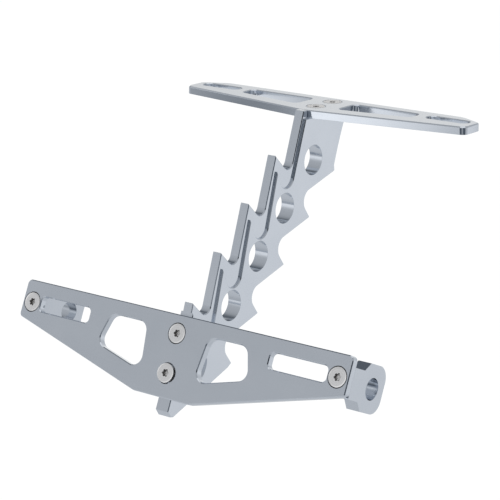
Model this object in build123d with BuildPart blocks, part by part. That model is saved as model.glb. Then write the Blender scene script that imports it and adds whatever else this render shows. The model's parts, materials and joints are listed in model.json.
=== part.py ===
"""Tail tidy: a slotted top plate, a zig-zag spine and a tilted lower plate with two indicator brackets.

The origin is on the upper face of the top plate, midway between its two slots.
X runs along the plates, Y points forward on the vehicle and Z points up, all in millimetres.
"""
import os
from math import cos, radians, sin, tan

from build123d import *

os.makedirs("parts", exist_ok=True)

# Fits and small edges
seat_gap = 0.1
edge_break = 0.45
spine_edge_break = 0.4

# Countersunk screws, one size throughout
screw_length = 12.0
thread_diameter = 5.0
thread_hole_gap = 0.05
clearance_diameter = 5.5
head_diameter = 10.0
head_rim = 0.35
head_gap = 0.2
socket_across_flats = 3.4
socket_depth = 1.9
top_screw_y_rear = -12.6
top_screw_y_front = 1.7
centre_screw_height_upper = 1.83
centre_screw_height_lower = -17.3
centre_screw_lower_proud = 1.1
end_screw_x = 91.5

# Top plate
top_thickness = 4.0
top_half_length = 84.7
top_back_y = 10.0
top_apex_y = -23.8
top_front_slope = 0.162
top_end_back_y = 3.0
top_back_cut_x = 72.0
top_front_corner_radius = 3.4
top_end_corner_radius = 1.5
top_cut_corner_radius = 10.0
top_slot_x = 68.9
top_slot_length = 23.6
top_slot_width = 7.0
top_window_inner_x = 12.4
top_window_outer_x = 51.4
top_window_margin = 9.1
top_window_back_y = 3.4
top_window_radius = 3.0

# Lower plate, in its own plane: heights run up the plate from the line of the end screws
plate_tilt = radians(23.9)
plate_y = -123.2
plate_z = -92.36
plate_half_length = 97.5
lower_thickness = 3.6
plate_top_height = 10.7
plate_end_height = -7.85
plate_bottom_height = -28.95
plate_bottom_half = 16.65
plate_top_corner_radius = 2.5
plate_bottom_corner_radius = 2.0
plate_flat_corner_radius = 6.0
plate_slot_inner_x = 54.0
plate_slot_outer_x = 85.9
plate_slot_height = 7.5
plate_slot_radius = 2.2
window_top_height = 3.6
window_top_inner_x = 18.7
window_top_outer_x = 40.7
window_low_inner_x = 15.8
window_low_inner_height = -19.1
window_low_outer_x = 45.4
window_low_outer_height = -11.4
window_radius = 4.9

# Spine: a thin toothed flange that carries a thicker core
flange_thickness = 5.3
core_thickness = 7.6
tooth_count = 5
pitch_y = -21.4
pitch_z = -19.75
tooth_tip_y = -27.8
tooth_tip_z = 1.14
tooth_face_angle = radians(18.6)
tooth_top_angle = radians(45.5)
notch_radius = 4.1
lip_y = -26.6
lip_angle = radians(19.4)
core_tip_drop = 7.8
core_first_y = -26.3
core_first_angle = radians(19.0)
core_face_angle = radians(15.8)
core_hook_angle = radians(21.8)
core_valley_radius = 5.8
barb_y = -0.6
barb_z = -34.56
barb_pitch_y = -21.2
barb_pitch_z = -19.95
barb_under_angle = radians(14.8)
barb_front_angle = radians(36.5)
barb_notch_radius = 5.7
barb_tip_radius = 0.6
neck_y = 4.2
neck_z = -16.96
neck_end_y = -1.0
neck_end_z = -31.4
foot_y = -88.4
foot_z = -116.16
nose_crease_height = -34.8
nose_low_depth = 6.7
nose_low_height = -36.9
nose_end_depth = 9.1
nose_end_height = -36.5
lightening_diameter = 15.3
first_hole_y = -19.6
first_hole_z = -25.66
second_hole_y = -43.2
second_hole_z = -45.71

# Indicator brackets, measured back from the front of the lower plate
stem_width = 13.5
ear_width = 7.0
right_bracket_height = -1.25
left_bracket_height = -0.15
stem_half_height = 7.2
ear_half_height = 11.1
stem_shoulder_depth = 11.7
ear_shoulder_depth = 15.5
bracket_depth = 30.8
ear_corner_radius = 7.0
indicator_bore_diameter = 10.3
indicator_bore_depth = 21.0


def on_plate(height, depth):
    """Return the Y and Z of a point at this height up the lower plate and depth behind its front."""
    y = plate_y + height * sin(plate_tilt) + depth * cos(plate_tilt)
    z = plate_z + height * cos(plate_tilt) - depth * sin(plate_tilt)
    return (y, z)


def meet(point_a, angle_a, point_b, angle_b):
    """Return where two lines cross, each given by a point and its lean from the vertical."""
    lean_a = tan(angle_a)
    lean_b = tan(angle_b)
    z = (point_b[0] - point_a[0] + lean_a * point_a[1] - lean_b * point_b[1]) / (lean_a - lean_b)
    y = point_a[0] + lean_a * (z - point_a[1])
    return (y, z)


def corners_near(shape, points):
    """Return the vertices of a sketch that lie closest to the given points."""
    return [shape.vertices().sort_by_distance((*point, 0))[0] for point in points]


side_plane = Plane(origin=(0, 0, 0), x_dir=(0, 1, 0), z_dir=(1, 0, 0))
plate_plane = Plane(
    origin=(0, plate_y, plate_z),
    x_dir=(1, 0, 0),
    z_dir=(0, -cos(plate_tilt), sin(plate_tilt)),
)

# Screw seats: where each head's flat face sits
top_seats = [
    Location(Plane(origin=(0, top_screw_y_rear, 0))),
    Location(Plane(origin=(0, top_screw_y_front, 0))),
]
centre_seats = [
    Location(plate_plane) * Pos(0, centre_screw_height_upper, 0),
    Location(plate_plane) * Pos(0, centre_screw_height_lower, 0),
]
end_seats = [
    Location(plate_plane) * Pos(-end_screw_x, 0, 0),
    Location(plate_plane) * Pos(end_screw_x, 0, 0),
]


# Cutters, each drawn with the head's flat face at zero
to_top = (Align.CENTER, Align.CENTER, Align.MAX)
to_base = (Align.CENTER, Align.CENTER, Align.MIN)
thread_radius = thread_diameter / 2
seat_radius = head_diameter / 2 + head_gap / 2
seat_cone = Cone(thread_radius, seat_radius, seat_radius - thread_radius, align=to_top)
seat_well = Cylinder(seat_radius, top_thickness, align=to_base)
shank_hole = Cylinder(clearance_diameter / 2, 4 * top_thickness)
screw_opening = Pos(0, 0, -head_rim) * (seat_cone + seat_well) + shank_hole
tapped_hole = Cylinder(thread_radius + thread_hole_gap, screw_length + seat_gap, align=to_top)


# Top plate
top_end_front_y = top_apex_y + top_front_slope * top_half_length
lip_half = flange_thickness / 2 + seat_gap
top_flat_y = top_apex_y + top_front_slope * lip_half
window_front_y = top_apex_y + top_window_margin

with BuildPart() as top_plate:
    with BuildSketch(Plane.XY) as top_outline:
        with BuildLine():
            Polyline(
                (lip_half, top_flat_y),
                (top_half_length, top_end_front_y),
                (top_half_length, top_end_back_y),
                (top_back_cut_x, top_back_y),
                (-top_back_cut_x, top_back_y),
                (-top_half_length, top_end_back_y),
                (-top_half_length, top_end_front_y),
                (-lip_half, top_flat_y),
                close=True,
            )
        make_face()
        front_corners = [(side * top_half_length, top_end_front_y) for side in (-1, 1)]
        fillet(corners_near(top_outline.sketch, front_corners), top_front_corner_radius)
        end_corners = [(side * top_half_length, top_end_back_y) for side in (-1, 1)]
        fillet(corners_near(top_outline.sketch, end_corners), top_end_corner_radius)
        back_corners = [(side * top_back_cut_x, top_back_y) for side in (-1, 1)]
        fillet(corners_near(top_outline.sketch, back_corners), top_cut_corner_radius)
    extrude(amount=-top_thickness)
    with BuildSketch(Plane.XY) as top_windows:
        for side in (-1, 1):
            inner = side * top_window_inner_x
            outer = side * top_window_outer_x
            with BuildLine():
                Polyline(
                    (inner, window_front_y + top_front_slope * top_window_inner_x),
                    (outer, window_front_y + top_front_slope * top_window_outer_x),
                    (outer, top_window_back_y),
                    (inner, top_window_back_y),
                    close=True,
                )
            make_face()
        fillet(top_windows.vertices(), top_window_radius)
    extrude(amount=-top_thickness, mode=Mode.SUBTRACT)
    with BuildSketch(Plane.XY):
        with Locations((-top_slot_x, 0), (top_slot_x, 0)):
            SlotOverall(top_slot_length, top_slot_width)
    extrude(amount=-top_thickness, mode=Mode.SUBTRACT)
    upper_face = top_plate.faces().sort_by(Axis.Z)[-1]
    chamfer(upper_face.edges(), length=edge_break)
    for seat in top_seats:
        add(seat * screw_opening, mode=Mode.SUBTRACT)

# Lower plate
with BuildPart() as lower_plate:
    with BuildSketch(plate_plane) as plate_outline:
        with BuildLine():
            Polyline(
                (plate_half_length, plate_top_height),
                (plate_half_length, plate_end_height),
                (plate_bottom_half, plate_bottom_height),
                (-plate_bottom_half, plate_bottom_height),
                (-plate_half_length, plate_end_height),
                (-plate_half_length, plate_top_height),
                close=True,
            )
        make_face()
        top_corners = [(side * plate_half_length, plate_top_height) for side in (-1, 1)]
        fillet(corners_near(plate_outline.sketch_local, top_corners), plate_top_corner_radius)
        low_corners = [(side * plate_half_length, plate_end_height) for side in (-1, 1)]
        fillet(corners_near(plate_outline.sketch_local, low_corners), plate_bottom_corner_radius)
        flat_corners = [(side * plate_bottom_half, plate_bottom_height) for side in (-1, 1)]
        fillet(corners_near(plate_outline.sketch_local, flat_corners), plate_flat_corner_radius)
    extrude(amount=-lower_thickness)
    with BuildSketch(plate_plane) as plate_windows:
        for side in (-1, 1):
            with BuildLine():
                Polyline(
                    (side * window_top_inner_x, window_top_height),
                    (side * window_top_outer_x, window_top_height),
                    (side * window_low_outer_x, window_low_outer_height),
                    (side * window_low_inner_x, window_low_inner_height),
                    close=True,
                )
            make_face()
        fillet(plate_windows.vertices(), window_radius)
    extrude(amount=-lower_thickness, mode=Mode.SUBTRACT)
    with BuildSketch(plate_plane):
        slot_length = plate_slot_outer_x - plate_slot_inner_x
        slot_x = (plate_slot_outer_x + plate_slot_inner_x) / 2
        with Locations((-slot_x, 0), (slot_x, 0)):
            RectangleRounded(slot_length, plate_slot_height, plate_slot_radius)
    extrude(amount=-lower_thickness, mode=Mode.SUBTRACT)
    front_face = lower_plate.faces().sort_by(Axis(plate_plane.origin, plate_plane.z_dir))[-1]
    chamfer(front_face.edges(), length=edge_break)
    for seat in centre_seats + end_seats:
        add(seat * screw_opening, mode=Mode.SUBTRACT)

# Spine outlines, as Y and Z pairs
tips = [(tooth_tip_y + k * pitch_y, tooth_tip_z + k * pitch_z) for k in range(tooth_count)]
core_tips = [(tip[0], tip[1] - core_tip_drop) for tip in tips]
barbs = [(barb_y + k * barb_pitch_y, barb_z + k * barb_pitch_z) for k in range(tooth_count)]
under_lean = radians(90) - barb_under_angle

notches = [meet((lip_y, 0), lip_angle, tips[1], -tooth_top_angle)]
for tip, next_tip in zip(tips[1:], tips[2:]):
    notches.append(meet(tip, tooth_face_angle, next_tip, -tooth_top_angle))

valleys = [meet((core_first_y, -top_thickness), core_first_angle, core_tips[1], -core_hook_angle)]
for tip, next_tip in zip(core_tips[1:], core_tips[2:]):
    valleys.append(meet(tip, core_face_angle, next_tip, -core_hook_angle))

barb_roots = []
for barb, next_barb in zip(barbs, barbs[1:]):
    barb_roots.append(meet(barb, under_lean, next_barb, -barb_front_angle))

forward_edge = []
for barb, root in zip(barbs, barb_roots):
    forward_edge.extend([barb, root])
forward_edge.append(barbs[-1])

toothed_edge = []
for tip, notch in zip(tips[:0:-1], notches[::-1]):
    toothed_edge.extend([tip, notch])

seat_top = meet(tips[-1], tooth_face_angle, on_plate(plate_top_height, lower_thickness), plate_tilt)
nose = [
    on_plate(nose_end_height, nose_end_depth),
    on_plate(nose_low_height, nose_low_depth),
    on_plate(nose_crease_height, lower_thickness),
]
neck = [(top_back_y, -top_thickness), (neck_y, neck_z), (neck_end_y, neck_end_z)]
lip_back_y = top_flat_y - seat_gap
lip_points = [(lip_y, 0), (lip_back_y, 0), (lip_back_y, -top_thickness)]
flange_rear = [seat_top, *toothed_edge, *lip_points]
core_tips[-1] = meet(tips[-1], tooth_face_angle, core_tips[-1], -core_hook_angle)
stepped_edge = []
for tip, valley in zip(core_tips[:0:-1], valleys[::-1]):
    stepped_edge.extend([tip, valley])
core_rear = [seat_top, *stepped_edge, (core_first_y, -top_thickness)]


def spine_outline(rear_points, round_points, radius):
    """Return one spine outline whose rear notches have this radius."""
    with BuildSketch(side_plane) as outline:
        with BuildLine():
            ThreePointArc(*neck)
            Polyline(neck[-1], *forward_edge, (foot_y, foot_z), *nose, *rear_points, neck[0])
        make_face()
        fillet(corners_near(outline.sketch_local, barb_roots), barb_notch_radius)
        fillet(corners_near(outline.sketch_local, barbs), barb_tip_radius)
        fillet(corners_near(outline.sketch_local, round_points), radius)
    return outline.sketch


hole_centres = [(first_hole_y, first_hole_z)]
for k in range(tooth_count - 2):
    hole_centres.append((second_hole_y + k * pitch_y, second_hole_z + k * pitch_z))

with BuildPart() as spine:
    extrude(spine_outline(flange_rear, notches, notch_radius), amount=flange_thickness / 2, both=True)
    chamfer(spine.faces().filter_by(Axis.X).edges(), length=spine_edge_break)
    extrude(spine_outline(core_rear, valleys, core_valley_radius), amount=core_thickness / 2, both=True)
    core_sides = spine.faces().filter_by(Axis.X).group_by(Axis.X)
    chamfer((core_sides[0] + core_sides[-1]).edges(), length=spine_edge_break)
    with BuildSketch(side_plane):
        with Locations(*hole_centres):
            Circle(lightening_diameter / 2)
    extrude(amount=core_thickness, both=True, mode=Mode.SUBTRACT)
    for seat in top_seats + centre_seats:
        add(seat * tapped_hole, mode=Mode.SUBTRACT)

def bracket_plane(x):
    """Return the side plane at this X: depth runs behind the plate and height runs up it."""
    return Plane(
        origin=(x, plate_y, plate_z),
        x_dir=(0, cos(plate_tilt), -sin(plate_tilt)),
        z_dir=(1, 0, 0),
    )


def bracket_body(centre_height):
    """Return the right-hand indicator bracket with its bore at this height on the lower plate."""
    ear_top = centre_height + ear_half_height
    ear_bottom = centre_height - ear_half_height
    stem_top = centre_height + stem_half_height
    stem_bottom = centre_height - stem_half_height
    stem_inner_x = plate_half_length - stem_width
    shoulder_drop = ear_half_height - stem_half_height
    with BuildPart() as body:
        with BuildSketch(bracket_plane(stem_inner_x)) as ear_outline:
            with BuildLine():
                Polyline(
                    (lower_thickness, stem_top),
                    (stem_shoulder_depth, stem_top),
                    (ear_shoulder_depth, ear_top),
                    (bracket_depth, ear_top),
                    (bracket_depth, ear_bottom),
                    (ear_shoulder_depth, ear_bottom),
                    (stem_shoulder_depth, stem_bottom),
                    (lower_thickness, stem_bottom),
                    close=True,
                )
            make_face()
            ear_corners = [(bracket_depth, ear_top), (bracket_depth, ear_bottom)]
            fillet(corners_near(ear_outline.sketch_local, ear_corners), ear_corner_radius)
        extrude(amount=stem_width)
        with BuildSketch(bracket_plane(stem_inner_x)):
            with Locations((bracket_depth, ear_top), (bracket_depth, ear_bottom)):
                Rectangle(2 * (bracket_depth - lower_thickness), 2 * shoulder_drop)
        extrude(amount=stem_width - ear_width, mode=Mode.SUBTRACT)
        with BuildSketch(bracket_plane(stem_inner_x)):
            with Locations((indicator_bore_depth, centre_height)):
                Circle(indicator_bore_diameter / 2)
        extrude(amount=stem_width, mode=Mode.SUBTRACT)
        add(end_seats[1] * tapped_hole, mode=Mode.SUBTRACT)
    return body.part


def screw_body(seat):
    """Return one countersunk screw whose head's flat face sits on this seat."""
    with BuildPart() as body:
        cone_depth = (head_diameter - thread_diameter) / 2
        with BuildSketch(Plane.XZ):
            with BuildLine():
                Polyline(
                    (0, 0),
                    (head_diameter / 2, 0),
                    (head_diameter / 2, -head_rim),
                    (thread_diameter / 2, -head_rim - cone_depth),
                    (thread_diameter / 2, -screw_length),
                    (0, -screw_length),
                    close=True,
                )
            make_face()
        revolve(axis=Axis.Z)
        with BuildSketch(Plane.XY):
            RegularPolygon(socket_across_flats / 2, 6, major_radius=False)
        extrude(amount=-socket_depth, mode=Mode.SUBTRACT)
    return seat * body.part


screws = {
    "top_screw_rear": screw_body(top_seats[0]),
    "top_screw_front": screw_body(top_seats[1]),
    "centre_screw_upper": screw_body(centre_seats[0]),
    "centre_screw_lower": screw_body(centre_seats[1] * Pos(0, 0, centre_screw_lower_proud)),
    "end_screw_left": screw_body(end_seats[0]),
    "end_screw_right": screw_body(end_seats[1]),
}

bodies = {
    "top_plate": top_plate.part,
    "lower_plate": lower_plate.part,
    "spine": spine.part,
    "indicator_bracket_left": bracket_body(left_bracket_height).mirror(Plane.YZ),
    "indicator_bracket_right": bracket_body(right_bracket_height),
    **screws,
}
for name, body in bodies.items():
    body.label = name
    export_step(body, f"parts/{name}.step")
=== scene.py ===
"""Tail tidy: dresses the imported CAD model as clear-anodised aluminium and stainless steel.

The spine and the lower plate keep the shapes of their nodes and get their finishes here. The top
plate, the two indicator brackets and the six screws are built in place of their nodes. The rest
sets up the camera, the floor and a plain studio light.
"""

import json
import logging
import math
from dataclasses import dataclass
from enum import Enum

import bmesh
import bpy
from mathutils import Matrix, Vector

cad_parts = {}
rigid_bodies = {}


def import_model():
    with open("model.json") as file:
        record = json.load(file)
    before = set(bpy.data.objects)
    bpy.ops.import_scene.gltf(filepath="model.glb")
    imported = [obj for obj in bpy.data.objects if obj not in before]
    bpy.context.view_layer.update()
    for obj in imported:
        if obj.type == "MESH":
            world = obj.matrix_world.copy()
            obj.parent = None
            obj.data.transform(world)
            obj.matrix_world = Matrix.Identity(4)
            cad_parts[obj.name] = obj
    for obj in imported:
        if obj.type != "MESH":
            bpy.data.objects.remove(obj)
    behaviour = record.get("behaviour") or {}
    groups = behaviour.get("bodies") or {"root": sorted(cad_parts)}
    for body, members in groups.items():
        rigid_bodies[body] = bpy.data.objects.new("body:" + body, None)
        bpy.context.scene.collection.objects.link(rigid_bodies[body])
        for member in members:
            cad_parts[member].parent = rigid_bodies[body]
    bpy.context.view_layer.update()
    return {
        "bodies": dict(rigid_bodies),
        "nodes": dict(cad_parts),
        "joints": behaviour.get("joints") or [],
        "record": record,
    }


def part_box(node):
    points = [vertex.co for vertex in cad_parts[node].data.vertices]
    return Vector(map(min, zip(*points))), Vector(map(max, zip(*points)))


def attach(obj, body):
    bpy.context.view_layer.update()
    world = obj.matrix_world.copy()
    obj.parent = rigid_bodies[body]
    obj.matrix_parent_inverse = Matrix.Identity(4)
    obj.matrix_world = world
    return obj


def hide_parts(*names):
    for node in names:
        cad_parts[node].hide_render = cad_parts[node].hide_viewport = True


LOG = logging.getLogger("tail_tidy")
MM = 0.001
# Corners of a copied solid that are closer than this are one corner
WELD = 0.0005 * MM
# A corner this close to a named place stands on it
NEAR = 0.01 * MM
# Neighbouring faces of a copied solid within this angle are one flat face
FLAT_ANGLE = math.radians(0.3)
# Edges of a reworked piece are sharp from this angle, so its arcs stay smooth
SHARP_ANGLE = math.radians(20)
# Most values of a noise texture lie between these
NOISE_LOW, NOISE_HIGH = 0.3, 0.7
# How far apart the wave texture's rings are at a scale of one
WAVE_SPACING = math.pi / 10


def linear(hex_colour: str, alpha: float = 1.0) -> tuple[float, float, float, float]:
    """Turn an sRGB hex colour into linear values.

    Args:
        hex_colour: six hex digits with a leading hash.
        alpha: the fourth value.

    Returns:
        Linear red, green and blue with the alpha.
    """
    channels = []
    for start in (1, 3, 5):
        value = int(hex_colour[start : start + 2], 16) / 255
        channels.append(value / 12.92 if value <= 0.04045 else ((value + 0.055) / 1.055) ** 2.4)
    return (channels[0], channels[1], channels[2], alpha)


def add_node(tree: bpy.types.NodeTree, kind: str, settings: dict, inputs: dict) -> bpy.types.Node:
    """Add one node with its settings and links.

    Args:
        tree: the node tree that gets the node.
        kind: Blender's name for the node type.
        settings: attribute names and their values.
        inputs: input names or indices, each with a constant or the socket that feeds it.

    Returns:
        The new node.
    """
    node = tree.nodes.new(kind)
    for name, value in settings.items():
        setattr(node, name, value)
    for key, value in inputs.items():
        if isinstance(value, bpy.types.NodeSocket):
            tree.links.new(value, node.inputs[key])
        else:
            node.inputs[key].default_value = value
    return node


def fresh_material(name: str) -> bpy.types.Material:
    """Make an empty node material with this name."""
    material = bpy.data.materials.new(name)
    material.use_nodes = True
    material.node_tree.nodes.clear()
    return material


class CutterPath(Enum):
    """Which way the milling cutter ran, as a stretch of the grain along X, Y and Z."""

    ALONG_X = (0.05, 1.0, 1.0)
    ALONG_SPINE = (1.0, 0.35, 0.35)
    ROUND_EAR = (1.0, 0.6, 0.6)


@dataclass(frozen=True)
class CutterNick:
    """A lens-shaped nick that a cutter left in a flat side, with one sloping face.

    Its reach is how far it goes through the surface, and its blend is how softly its rim begins.
    """

    centre: tuple[float, float, float]
    along: tuple[float, float, float]
    across: tuple[float, float, float]
    half_length: float
    half_width: float
    slope_normal: tuple[float, float, float]
    reach: float = 1.5 * MM
    blend: float = 0.25

    def spans(self) -> tuple[tuple[Vector, float], ...]:
        """Return the nick's three axes, each with its half size."""
        along = Vector(self.along).normalized()
        across = Vector(self.across).normalized()
        return ((along, self.half_length), (across, self.half_width), (along.cross(across), self.reach))


@dataclass(frozen=True)
class ClearAnodisedAluminium:
    """Milled 6082 aluminium, finely blasted and clear anodised.

    The blasting takes the mirror off the metal and the oxide film over it adds a thin, slightly
    sharper gloss, so the eye sees broad soft reflections with a faint cool tint.
    """

    name: str
    colour: str = "#e2e6ec"
    cloud_colour: str = "#d9dee5"
    roughness: float = 0.12
    roughness_spread: float = 0.04
    cutter_path: CutterPath = CutterPath.ALONG_X
    cutter_pitch: float = 0.9 * MM
    cutter_relief: float = 0.02 * MM
    cutter_strength: float = 0.04
    blast_grain: float = 0.35 * MM
    grain_relief: float = 0.01 * MM
    grain_strength: float = 0.05
    cloud_size: float = 18 * MM
    edge_round: float = 0.15 * MM
    nick: CutterNick | None = None

    def nicked_normal(
        self, tree: bpy.types.NodeTree, place: bpy.types.NodeSocket, normal: bpy.types.NodeSocket
    ) -> bpy.types.NodeSocket:
        """Tilt the surface inside the nick.

        Args:
            tree: the material's node tree.
            place: the position in the part's own frame.
            normal: the surface's normal without the nick.

        Returns:
            The normal with the nick's sloping face.
        """
        offset = add_node(
            tree, "ShaderNodeVectorMath", {"operation": "SUBTRACT"}, {0: place, 1: self.nick.centre}
        ).outputs[0]
        room: float | bpy.types.NodeSocket = 1.0
        for axis, half in self.nick.spans():
            part = add_node(
                tree,
                "ShaderNodeVectorMath",
                {"operation": "DOT_PRODUCT"},
                {0: offset, 1: axis / half},
            ).outputs["Value"]
            square = add_node(tree, "ShaderNodeMath", {"operation": "MULTIPLY"}, {0: part, 1: part})
            room = add_node(
                tree, "ShaderNodeMath", {"operation": "SUBTRACT"}, {0: room, 1: square.outputs[0]}
            ).outputs[0]
        inside = add_node(tree, "ShaderNodeMapRange", {}, {"Value": room, "From Max": self.nick.blend})
        slope = add_node(
            tree,
            "ShaderNodeVectorTransform",
            {"vector_type": "NORMAL", "convert_from": "OBJECT", "convert_to": "WORLD"},
            {"Vector": Vector(self.nick.slope_normal).normalized()},
        )
        mixed = add_node(
            tree,
            "ShaderNodeMix",
            {"data_type": "VECTOR"},
            {"Factor": inside.outputs["Result"], 4: normal, 5: slope.outputs[0]},
        )
        return add_node(
            tree, "ShaderNodeVectorMath", {"operation": "NORMALIZE"}, {0: mixed.outputs[1]}
        ).outputs[0]

    def material(self) -> bpy.types.Material:
        """Build the material.

        Returns:
            A metal whose colour, gloss and relief vary as blasted and anodised aluminium does.
        """
        material = fresh_material(self.name)
        tree = material.node_tree
        place = add_node(tree, "ShaderNodeTexCoord", {}, {}).outputs["Object"]
        cloud = add_node(
            tree,
            "ShaderNodeTexNoise",
            {},
            {"Vector": place, "Scale": 1 / self.cloud_size, "Detail": 2.0},
        )
        colour = add_node(
            tree,
            "ShaderNodeMix",
            {"data_type": "RGBA"},
            {"Factor": cloud.outputs["Fac"], 6: linear(self.colour), 7: linear(self.cloud_colour)},
        )
        stretched = add_node(
            tree,
            "ShaderNodeVectorMath",
            {"operation": "MULTIPLY"},
            {0: place, 1: self.cutter_path.value},
        )
        # A real cutter leaves lines about 0.2 mm apart; they are drawn wider here so that they show
        cutter = add_node(
            tree,
            "ShaderNodeTexNoise",
            {},
            {"Vector": stretched.outputs[0], "Scale": 1 / self.cutter_pitch, "Detail": 1.0},
        )
        # Blasted grain is near 0.1 mm and is drawn coarser for the same reason
        grain = add_node(
            tree,
            "ShaderNodeTexNoise",
            {},
            {"Vector": place, "Scale": 1 / self.blast_grain, "Detail": 2.0, "Roughness": 0.6},
        )
        roughness = add_node(
            tree,
            "ShaderNodeMapRange",
            {},
            {
                "Value": cutter.outputs["Fac"],
                "From Min": NOISE_LOW,
                "From Max": NOISE_HIGH,
                "To Min": self.roughness - self.roughness_spread / 2,
                "To Max": self.roughness + self.roughness_spread / 2,
            },
        )
        broken_edge = add_node(tree, "ShaderNodeBevel", {"samples": 4}, {"Radius": self.edge_round})
        cut_relief = add_node(
            tree,
            "ShaderNodeBump",
            {},
            {
                "Strength": self.cutter_strength,
                "Distance": self.cutter_relief,
                "Height": cutter.outputs["Fac"],
                "Normal": broken_edge.outputs["Normal"],
            },
        )
        relief = add_node(
            tree,
            "ShaderNodeBump",
            {},
            {
                "Strength": self.grain_strength,
                "Distance": self.grain_relief,
                "Height": grain.outputs["Fac"],
                "Normal": cut_relief.outputs["Normal"],
            },
        )
        normal = relief.outputs["Normal"]
        if self.nick:
            normal = self.nicked_normal(tree, place, normal)
        shader = add_node(
            tree,
            "ShaderNodeBsdfPrincipled",
            {},
            {
                "Base Color": colour.outputs[2],
                "Metallic": 1.0,
                "Roughness": roughness.outputs["Result"],
                "Normal": normal,
            },
        )
        add_node(
            tree,
            "ShaderNodeOutputMaterial",
            {},
            {"Surface": shader.outputs["BSDF"]},
        )
        return material


@dataclass(frozen=True)
class TurnedStainless:
    """A2 stainless steel, turned and left plain.

    The eye sees it warmer and a little brighter than the anodised parts, with soft reflections and
    faint rings round the screw's axis.
    """

    name: str
    colour: str = "#fdfbf9"
    ring_colour: str = "#f3f0ee"
    roughness: float = 0.33
    roughness_spread: float = 0.08
    ring_pitch: float = 1.08 * MM
    ring_waver: float = 0.6
    ring_relief: float = 0.01 * MM
    ring_strength: float = 0.08

    def material(self) -> bpy.types.Material:
        """Build the material.

        Returns:
            A metal with concentric turning rings in its own object's frame.
        """
        material = fresh_material(self.name)
        tree = material.node_tree
        place = add_node(tree, "ShaderNodeTexCoord", {}, {}).outputs["Object"]
        # Turning feed is near 0.1 mm a turn; the rings are drawn wider so that they show
        rings = add_node(
            tree,
            "ShaderNodeTexWave",
            {"wave_type": "RINGS", "rings_direction": "Z"},
            {
                "Vector": place,
                "Scale": WAVE_SPACING / self.ring_pitch,
                "Distortion": self.ring_waver,
                "Detail": 1.0,
            },
        )
        colour = add_node(
            tree,
            "ShaderNodeMix",
            {"data_type": "RGBA"},
            {"Factor": rings.outputs["Fac"], 6: linear(self.colour), 7: linear(self.ring_colour)},
        )
        roughness = add_node(
            tree,
            "ShaderNodeMapRange",
            {},
            {
                "Value": rings.outputs["Fac"],
                "To Min": self.roughness - self.roughness_spread / 2,
                "To Max": self.roughness + self.roughness_spread / 2,
            },
        )
        relief = add_node(
            tree,
            "ShaderNodeBump",
            {},
            {
                "Strength": self.ring_strength,
                "Distance": self.ring_relief,
                "Height": rings.outputs["Fac"],
            },
        )
        shader = add_node(
            tree,
            "ShaderNodeBsdfPrincipled",
            {},
            {
                "Base Color": colour.outputs[2],
                "Metallic": 1.0,
                "Roughness": roughness.outputs["Result"],
                "Normal": relief.outputs["Normal"],
            },
        )
        add_node(
            tree,
            "ShaderNodeOutputMaterial",
            {},
            {"Surface": shader.outputs["BSDF"]},
        )
        return material


# Painted shade: a darker stainless for the screw's drive, its head's underside and its thread
@dataclass(frozen=True)
class ShadePaintedStainless(TurnedStainless):
    """A2 stainless steel in a dull dark grey, for the drive and under the head.

    The dark grey is painted shade, standing in for the shade in the drive's recess and in the gap between the
    head and its seat.
    """

    colour: str = "#a8a5a2"
    ring_colour: str = "#989592"
    roughness: float = 0.42


def dress(node: bpy.types.Object, material: bpy.types.Material) -> None:
    """Give a CAD node one finish all over.

    Args:
        node: the CAD node's object.
        material: its finish.
    """
    node.data.materials.clear()
    node.data.materials.append(material)


def solid_copy(node: bpy.types.Object) -> bmesh.types.BMesh:
    """Copy a CAD node's mesh with its corners welded and its flat faces whole.

    Args:
        node: the CAD node's object, which stays as it is.

    Returns:
        An open bmesh in the row frame.
    """
    body = bmesh.new()
    body.from_mesh(node.data)
    body.transform(node.matrix_world)
    bmesh.ops.remove_doubles(body, verts=body.verts, dist=WELD)
    bmesh.ops.dissolve_limit(body, angle_limit=FLAT_ANGLE, verts=body.verts, edges=body.edges)
    return body


def detailed_piece(
    body: bmesh.types.BMesh, name: str, material: bpy.types.Material
) -> bpy.types.Object:
    """Turn a reworked copy into the piece that stands in for its CAD node.

    Args:
        body: the reworked copy, which is closed here.
        name: the CAD node's name.
        material: the piece's finish.

    Returns:
        The new piece.
    """
    mesh = bpy.data.meshes.new(f"{name}_body")
    body.to_mesh(mesh)
    body.free()
    custom_normals = mesh.attributes.get("custom_normal")
    if custom_normals:
        # The node's own normals no longer fit the reworked faces
        mesh.attributes.remove(custom_normals)
    mesh.shade_smooth()
    mesh.set_sharp_from_angle(angle=SHARP_ANGLE)
    mesh.materials.append(material)
    piece = bpy.data.objects.new(f"{name}_detailed", mesh)
    bpy.context.scene.collection.objects.link(piece)
    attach(piece, "root")
    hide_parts(name)
    LOG.info("built %s", name)
    return piece


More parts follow.
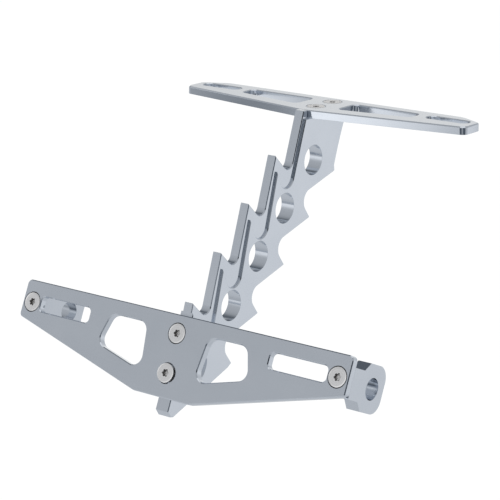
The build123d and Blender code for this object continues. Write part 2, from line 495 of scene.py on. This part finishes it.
@dataclass
class TopPlate:
    """The slotted top plate, with the rounded corners that its plain solid lacks."""

    finish: ClearAnodisedAluminium = ClearAnodisedAluminium("clear_anodised_top_plate")
    front_corner: tuple[float, float] = (84.7 * MM, -10.0786 * MM)
    front_setback: float = 2.89 * MM
    end_corner: tuple[float, float] = (84.7 * MM, 3.0 * MM)
    end_setback: float = 0.89 * MM
    back_corner: tuple[float, float] = (72.0 * MM, 10.0 * MM)
    back_setback: float = 2.57 * MM
    edge_break: float = 0.45 * MM
    least_height: float = 0.1 * MM
    segments: int = 10

    def round_corner(self, body: bmesh.types.BMesh, corner: tuple[float, float], setback: float) -> None:
        """Round both upright corners at this place, left and right.

        Args:
            body: the plate.
            corner: the corner's place on the right-hand side.
            setback: where the rounding starts, along each edge.
        """
        near = 2 * self.edge_break
        edges = []
        for edge in body.edges:
            low, high = sorted((vert.co for vert in edge.verts), key=lambda point: point.z)
            flat_gap = (Vector((abs(low.x), low.y)) - Vector(corner)).length
            top_gap = (Vector((abs(high.x), high.y)) - Vector(corner)).length
            if high.z - low.z > self.least_height and flat_gap < near and top_gap < near:
                edges.append(edge)
        bmesh.ops.bevel(
            body,
            geom=edges,
            offset=setback,
            offset_type="OFFSET",
            segments=self.segments,
            profile=0.5,
            affect="EDGES",
        )

    def build(self, frame: dict) -> bpy.types.Object:
        """Build the plate in place of its CAD node.


        Returns:
            The plate.
        """
        body = solid_copy(frame["nodes"]["top_plate"])
        self.round_corner(body, self.front_corner, self.front_setback)
        self.round_corner(body, self.end_corner, self.end_setback)
        self.round_corner(body, self.back_corner, self.back_setback)
        for vert in body.verts:
            # The rounding may swell past the flat back edge by a hair
            vert.co.y = min(vert.co.y, self.back_corner[1])
        return detailed_piece(body, "top_plate", self.finish.material())


@dataclass
class LowerPlate:
    """The tilted lower plate that carries the number plate."""

    finish: ClearAnodisedAluminium = ClearAnodisedAluminium(
        "clear_anodised_lower_plate",
        nick=CutterNick(
            centre=(-85.9 * MM, -120.75 * MM, -94.56 * MM),
            along=(0.0, 0.405, 0.914),
            across=(0.0, 0.914, -0.405),
            half_length=0.75 * MM,
            half_width=0.75 * MM,
            slope_normal=(0.80, -0.56, 0.2),
        ),
    )

    def dress(self, frame: dict) -> None:
        """Give the plate its finish.
        """
        dress(frame["nodes"]["lower_plate"], self.finish.material())
        LOG.info("dressed lower_plate")


@dataclass
class Spine:
    """The toothed spine that joins the plates."""

    finish: ClearAnodisedAluminium = ClearAnodisedAluminium(
        "clear_anodised_spine",
        cutter_path=CutterPath.ALONG_SPINE,
        nick=CutterNick(
            centre=(3.8 * MM, -106.8 * MM, -111.1 * MM),
            along=(0.0, 0.405, 0.914),
            across=(0.0, 0.914, -0.405),
            half_length=4.9 * MM,
            half_width=1.5 * MM,
            slope_normal=(0.80, -0.56, 0.2),
        ),
    )

    def dress(self, frame: dict) -> None:
        """Give the spine its finish.
        """
        dress(frame["nodes"]["spine"], self.finish.material())
        LOG.info("dressed spine")


@dataclass
class IndicatorBrackets:
    """The two ears that carry the indicators.

    Their inner faces draw in towards the plate, which the plain solids lack. The photograph shows
    it through the left slot, whose end wall is bright and not shaded by the bracket behind it.
    """

    finish: ClearAnodisedAluminium = ClearAnodisedAluminium(
        "clear_anodised_bracket",
        colour="#dde1e7",
        cloud_colour="#d4d9e0",
        cutter_path=CutterPath.ROUND_EAR,
    )
    nodes: tuple[str, ...] = ("indicator_bracket_left", "indicator_bracket_right")
    inner_x: float = 84.0 * MM
    draw_in: float = 2.1 * MM
    plate_point: tuple[float, float, float] = (0.0, -123.2 * MM, -92.36 * MM)
    behind: tuple[float, float, float] = (0.0, 0.91425, -0.40514)
    front_depth: float = 3.6 * MM
    rear_depth: float = 30.8 * MM

    def build(self, frame: dict) -> list[bpy.types.Object]:
        """Build both brackets in place of their CAD nodes.


        Returns:
            The two brackets.
        """
        material = self.finish.material()
        made = []
        for name in self.nodes:
            body = solid_copy(frame["nodes"][name])
            for vert in body.verts:
                if abs(abs(vert.co.x) - self.inner_x) < NEAR:
                    depth = (vert.co - Vector(self.plate_point)).dot(Vector(self.behind))
                    share = (self.rear_depth - depth) / (self.rear_depth - self.front_depth)
                    vert.co.x += math.copysign(self.draw_in * share, vert.co.x)
            made.append(detailed_piece(body, name, material))
        return made


@dataclass
class CountersunkScrew:
    """An M5 by 12 countersunk screw with a six-lobed drive, its flat face at zero and its axis on Z.

    The bands between its rings count from the bottom of the drive outwards. Those of the drive's
    Those of the drive's walls, and those from the one under the rim on, get the second finish, whose dark
    grey is painted shade.
    """

    head_radius: float = 4.66 * MM
    rim: float = 0.26 * MM
    rim_round: float = 0.12 * MM
    thread_radius: float = 2.5 * MM
    length: float = 12.0 * MM
    thread_pitch: float = 0.8 * MM
    thread_depth: float = 0.42 * MM
    rings_per_turn: int = 6
    tip_share: float = 0.2
    face_rings: tuple[float, ...] = (2.6 * MM, 3.6 * MM)
    lobes: int = 6
    lobe_radius: float = 1.84 * MM
    flute_radius: float = 1.40 * MM
    drive_depth: float = 1.95 * MM
    drive_point: float = 0.3 * MM
    drive_chamfer: float = 0.16 * MM
    drive_taper: float = 0.01 * MM
    sharp_angle: float = math.radians(38)
    steps: int = 96
    drive_bands: int = 2
    under_head_band: int = 9

    def star(self, turn: float, grow: float = 0.0) -> float:
        """Return the drive's radius at this angle, grown outwards by a margin."""
        swing = 0.5 + 0.5 * math.cos(self.lobes * turn)
        soft = swing * swing * (3 - 2 * swing)
        return self.flute_radius + (self.lobe_radius - self.flute_radius) * soft + grow

    def rings(self) -> list[list[Vector]]:
        """Return the rings of points from the bottom of the drive out over the head and down the thread.

        Returns:
            One list of points for each ring, all of the same count.
        """
        turns = [2 * math.pi * k / self.steps for k in range(self.steps)]
        drive = [
            (-self.drive_depth, -2 * self.drive_taper),
            (-0.5 * self.drive_depth, -self.drive_taper),
            (-self.drive_chamfer, 0.0),
            (0.0, self.drive_chamfer),
        ]
        rings = []
        for z, grow in drive:
            reach = [self.star(t, grow) for t in turns]
            rings.append([Vector((r * math.cos(t), r * math.sin(t), z)) for r, t in zip(reach, turns)])
        cone_depth = self.head_radius - self.thread_radius
        profile = [(radius, 0.0) for radius in self.face_rings]
        profile += [
            (self.head_radius - self.rim_round, 0.0),
            (self.head_radius - 0.3 * self.rim_round, -0.3 * self.rim_round),
            (self.head_radius, -self.rim_round),
            (self.head_radius, -self.rim),
            (self.head_radius - 0.5 * cone_depth, -self.rim - 0.5 * cone_depth),
            (self.thread_radius, -self.rim - cone_depth),
        ]
        for radius, z in profile:
            rings.append([Vector((radius * math.cos(t), radius * math.sin(t), z)) for t in turns])
        start = -self.rim - cone_depth
        levels = int((self.length + start) / self.thread_pitch * self.rings_per_turn)
        for level in range(1, levels + 1):
            z = start + (-self.length - start) * level / levels
            run_out = (levels - level) / self.rings_per_turn + self.tip_share
            fade = min(1.0, level / self.rings_per_turn, run_out)
            ring = []
            for t in turns:
                phase = (z / self.thread_pitch + t / (2 * math.pi)) % 1.0
                groove = self.thread_depth * fade * abs(2 * phase - 1)
                radius = self.thread_radius - groove
                ring.append(Vector((radius * math.cos(t), radius * math.sin(t), z)))
            rings.append(ring)
        return rings

    def mesh(self, name: str) -> bpy.types.Mesh:
        """Build the closed mesh of one screw.

        Args:
            name: the mesh's name.

        Returns:
            The mesh, smooth except at its real edges.
        """
        body = bmesh.new()
        loops = [[body.verts.new(point) for point in ring] for ring in self.rings()]
        for band, (inner, outer) in enumerate(zip(loops, loops[1:])):
            # The drive's walls and everything under the rim get the second finish, whose dark grey is painted
            # shade
            in_painted_shade = band < self.drive_bands or band >= self.under_head_band
            for k in range(self.steps):
                following = (k + 1) % self.steps
                face = body.faces.new((inner[k], outer[k], outer[following], inner[following]))
                face.material_index = int(in_painted_shade)
        floor_point = body.verts.new((0, 0, -self.drive_depth - self.drive_point))
        end_point = body.verts.new((0, 0, -self.length))
        for k in range(self.steps):
            following = (k + 1) % self.steps
            body.faces.new((floor_point, loops[0][k], loops[0][following]))
            body.faces.new((end_point, loops[-1][following], loops[-1][k]))
        bmesh.ops.recalc_face_normals(body, faces=body.faces)
        mesh = bpy.data.meshes.new(name)
        body.to_mesh(mesh)
        body.free()
        mesh.shade_smooth()
        mesh.set_sharp_from_angle(angle=self.sharp_angle)
        return mesh


@dataclass
class ScrewSet:
    """The six screws, each placed where its CAD node stands, with its drive turned as it was left."""

    screw: CountersunkScrew
    finish: TurnedStainless = TurnedStainless("turned_stainless")
    # The second finish is painted shade for the drive and under the head
    shade_painted_finish: ShadePaintedStainless = ShadePaintedStainless("shade_painted_stainless")
    tilt: float = math.radians(23.9)
    seat_radius: float = 5.0 * MM
    turned: tuple[tuple[str, float], ...] = (
        ("top_screw_rear", 8.0),
        ("top_screw_front", 31.0),
        ("centre_screw_upper", 2.0),
        ("centre_screw_lower", 6.0),
        ("end_screw_left", -4.0),
        ("end_screw_right", 14.0),
    )

    def place(self, name: str, spin: float) -> Matrix:
        """Return the place of one screw, from the box of its CAD node.

        Args:
            name: the CAD node's name.
            spin: how far the drive is turned, in degrees.

        Returns:
            The screw's matrix in the row frame.
        """
        lowest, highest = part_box(name)
        centre = (lowest + highest) / 2
        spin_matrix = Matrix.Rotation(math.radians(spin), 4, "Z")
        if name.startswith("top"):
            return Matrix.Translation((centre.x, centre.y, highest.z)) @ spin_matrix
        normal = Vector((0, -math.cos(self.tilt), math.sin(self.tilt)))
        up = Vector((0, math.sin(self.tilt), math.cos(self.tilt)))
        # The plain head's front and highest points fix the face's centre in the tilted box
        radius = self.seat_radius
        top = highest.z - radius * up.z
        front = lowest.y + radius * up.y
        turned = Matrix((Vector((1, 0, 0)), up, normal)).transposed().to_4x4()
        return Matrix.Translation((centre.x, front, top)) @ turned @ spin_matrix

    def build(self) -> list[bpy.types.Object]:
        """Build the six screws, each in place of its CAD node.

        Returns:
            The screws' objects.
        """
        # The second finish paints shade into the drive and under the head
        finishes = (self.finish.material(), self.shade_painted_finish.material())
        made = []
        for name, spin in self.turned:
            mesh = self.screw.mesh(f"{name}_body")
            for material in finishes:
                mesh.materials.append(material)
            piece = bpy.data.objects.new(f"{name}_detailed", mesh)
            bpy.context.scene.collection.objects.link(piece)
            piece.matrix_world = self.place(name, spin)
            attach(piece, "root")
            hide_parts(name)
            made.append(piece)
            LOG.info("built %s", name)
        return made


@dataclass(frozen=True)
class Panel:
    """One soft panel of the studio: a softbox where its strength is positive, a black flag where negative."""

    name: str
    direction: tuple[float, float, float]
    tightness: float
    strength: float
    colour: str = "#ffffff"


@dataclass
class Studio:
    """Camera, floor and plain studio light."""

    eye: tuple[float, float, float] = (0.54752, -0.78912, 0.18846)
    right: tuple[float, float, float] = (0.7962, 0.6050, 0.0054)
    upward: tuple[float, float, float] = (-0.1655, 0.2093, 0.9637)
    backward: tuple[float, float, float] = (0.58195, -0.76822, 0.26682)
    lens: float = 139.79
    sensor: float = 36.0
    nearest: float = 0.01
    farthest: float = 20.0
    floor_height: float = -0.36
    floor_half: float = 4.0
    floor_colour: str = "#e6e6e6"
    floor_glow: float = 1.145
    floor_glow_share: float = 0.85
    wall_level: float = 0.535
    wall_fall: float = -0.1
    wall_colour: str = "#f6faff"
    darkest: float = 0.02
    lamp_size: float = 0.9
    lamp_power: float = 1.2
    lamp_height: float = 1.1
    panels: tuple[Panel, ...] = (
        Panel("left wall softbox", (-0.45, -0.88, -0.13), 23.0, 0.67),
        Panel("forward wall softbox", (-0.51, 0.86, -0.02), 15.0, 0.49, "#fffaf0"),
        Panel("right wall softbox", (0.60, 0.79, -0.13), 16.5, 0.26),
        Panel("far wall softbox", (0.00, 0.98, 0.20), 20.0, 0.12),
        Panel("left fill", (-0.88, -0.36, 0.30), 45.0, 0.65),
        Panel("centre fill", (-0.13, -0.92, 0.36), 45.0, 0.65),
        Panel("flag round the camera", (0.58, -0.77, 0.27), 120.0, -0.42),
        Panel("flag above the camera", (0.81, -0.48, 0.33), 90.0, -0.70),
        Panel("flag beside the camera", (0.82, -0.57, -0.08), 50.0, -0.55),
        Panel("flag at the right", (0.94, -0.24, -0.25), 60.0, -0.55),
        Panel("flag left of the camera", (0.25, -0.96, -0.12), 22.0, -0.53),
        Panel("flag over the far left", (-0.51, 0.44, 0.74), 11.5, -0.33),
        Panel("gap in the left wall", (-0.71, -0.66, -0.24), 27.0, -0.38),
        Panel("gap below the centre fill", (-0.58, -0.80, 0.15), 42.0, -0.06),
    )

    def add_camera(self) -> None:
        """Set the camera at the photograph's viewing angle."""
        data = bpy.data.cameras.new("photo_camera")
        data.lens = self.lens
        data.sensor_width = self.sensor
        data.clip_start = self.nearest
        data.clip_end = self.farthest
        camera = bpy.data.objects.new("photo_camera", data)
        axes = Matrix((Vector(self.right), Vector(self.upward), Vector(self.backward))).transposed()
        camera.matrix_world = Matrix.Translation(self.eye) @ axes.to_4x4()
        bpy.context.scene.collection.objects.link(camera)
        bpy.context.scene.camera = camera

    def add_floor(self) -> None:
        """Lay the plain white floor, which keeps the object's soft shadow."""
        mesh = bpy.data.meshes.new("floor")
        half = self.floor_half
        corners = [(-half, -half, 0), (half, -half, 0), (half, half, 0), (-half, half, 0)]
        mesh.from_pydata(corners, [], [(0, 1, 2, 3)])
        floor = bpy.data.objects.new("floor", mesh)
        floor.location = (0, 0, self.floor_height)
        bpy.context.scene.collection.objects.link(floor)
        floor.visible_glossy = False
        material = fresh_material("white_paper_floor")
        tree = material.node_tree
        paper = add_node(tree, "ShaderNodeBsdfDiffuse", {}, {"Color": linear(self.floor_colour)})
        white = add_node(
            tree, "ShaderNodeEmission", {}, {"Color": linear("#ffffff"), "Strength": self.floor_glow}
        )
        path = add_node(tree, "ShaderNodeLightPath", {}, {})
        share = add_node(
            tree,
            "ShaderNodeMath",
            {"operation": "MULTIPLY"},
            {0: path.outputs["Is Camera Ray"], 1: self.floor_glow_share},
        )
        blend = add_node(
            tree,
            "ShaderNodeMixShader",
            {},
            {0: share.outputs[0], 1: paper.outputs[0], 2: white.outputs[0]},
        )
        add_node(tree, "ShaderNodeOutputMaterial", {}, {"Surface": blend.outputs[0]})
        mesh.materials.append(material)

    def add_light(self) -> None:
        """Light the object with soft panels all round, on a background that the camera sees as white."""
        world = bpy.data.worlds.new("studio")
        world.use_nodes = True
        tree = world.node_tree
        tree.nodes.clear()
        direction = add_node(tree, "ShaderNodeTexCoord", {}, {}).outputs["Generated"]
        height = add_node(tree, "ShaderNodeSeparateXYZ", {}, {0: direction}).outputs["Z"]
        level = add_node(
            tree,
            "ShaderNodeMath",
            {"operation": "MULTIPLY_ADD"},
            {0: height, 1: self.wall_fall, 2: self.wall_level},
        )
        total = add_node(
            tree,
            "ShaderNodeVectorMath",
            {"operation": "SCALE"},
            {0: linear(self.wall_colour)[:3], "Scale": level.outputs[0]},
        ).outputs[0]
        for panel in self.panels:
            facing = add_node(
                tree,
                "ShaderNodeVectorMath",
                {"operation": "DOT_PRODUCT"},
                {0: direction, 1: Vector(panel.direction).normalized()},
            )
            spread = add_node(
                tree,
                "ShaderNodeMath",
                {"operation": "MULTIPLY_ADD"},
                {0: facing.outputs["Value"], 1: panel.tightness, 2: -panel.tightness},
            )
            soft = add_node(tree, "ShaderNodeMath", {"operation": "EXPONENT"}, {0: spread.outputs[0]})
            tint = [channel * panel.strength for channel in linear(panel.colour)[:3]]
            total = add_node(
                tree,
                "ShaderNodeVectorMath",
                {"operation": "MULTIPLY_ADD"},
                {0: soft.outputs[0], 1: tint, 2: total},
            ).outputs[0]
        lit = add_node(
            tree,
            "ShaderNodeVectorMath",
            {"operation": "MAXIMUM"},
            {0: total, 1: (self.darkest,) * 3},
        )
        walls = add_node(tree, "ShaderNodeBackground", {}, {"Color": lit.outputs[0], "Strength": 1.0})
        white = add_node(tree, "ShaderNodeBackground", {}, {"Color": linear("#ffffff"), "Strength": 1.0})
        path = add_node(tree, "ShaderNodeLightPath", {}, {})
        seen = add_node(
            tree,
            "ShaderNodeMixShader",
            {},
            {0: path.outputs["Is Camera Ray"], 1: walls.outputs[0], 2: white.outputs[0]},
        )
        add_node(tree, "ShaderNodeOutputWorld", {}, {"Surface": seen.outputs[0]})
        bpy.context.scene.world = world

        lamp = bpy.data.lights.new("overhead_softbox", "AREA")
        lamp.shape = "SQUARE"
        lamp.size = self.lamp_size
        lamp.energy = self.lamp_power
        holder = bpy.data.objects.new("overhead_softbox", lamp)
        holder.location = (0, 0, self.lamp_height)
        bpy.context.scene.collection.objects.link(holder)

    def build(self) -> None:
        """Set up the whole studio."""
        self.add_camera()
        self.add_floor()
        self.add_light()
        bpy.context.scene.view_settings.view_transform = "Standard"
        LOG.info("studio ready")


def main() -> None:
    """Dress the frame, build the screws and set up the studio."""
    logging.basicConfig(level=logging.INFO, format="%(message)s")
    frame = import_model()
    TopPlate().build(frame)
    LowerPlate().dress(frame)
    Spine().dress(frame)
    IndicatorBrackets().build(frame)
    ScrewSet(CountersunkScrew()).build()
    Studio().build()


if __name__ == "__main__":
    main()
